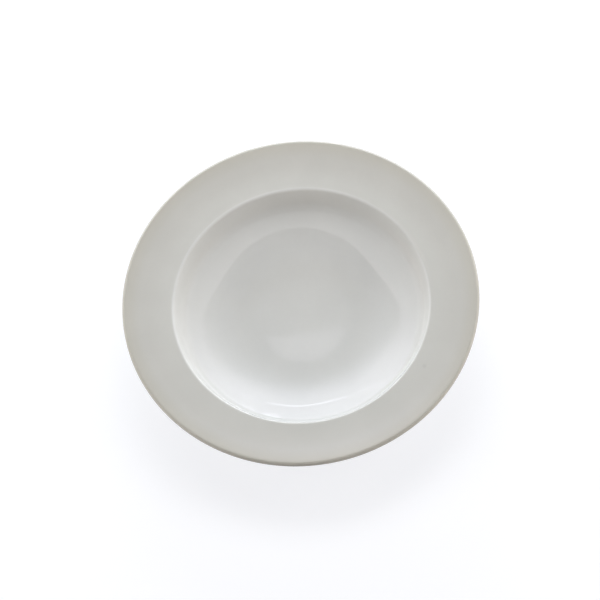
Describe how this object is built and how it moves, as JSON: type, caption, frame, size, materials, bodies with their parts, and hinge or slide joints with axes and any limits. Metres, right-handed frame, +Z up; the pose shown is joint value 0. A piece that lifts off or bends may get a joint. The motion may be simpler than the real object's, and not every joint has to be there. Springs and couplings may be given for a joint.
{
  "type": "rimmed soup plate",
  "caption": "Round white soup plate with a wide, slightly rising rim, a dished well and a foot ring under it.",
  "frame": {"origin": "centre of the foot ring, on the surface that the plate stands on", "axes": "+Z up along the plate's axis of turning; X and Y are free, because the plate is round"},
  "size_m": [0.23, 0.23, 0.038],
  "materials": {
    "fired_clay": "matte, fired, bare only on the foot ring",
    "clear_glaze": "glossy white, very slightly warm"
  },
  "bodies": {
    "root": {"clay_body": "fired_clay", "glaze_coat": "clear_glaze", "base_glaze": "clear_glaze"}
  },
  "joints": []
}
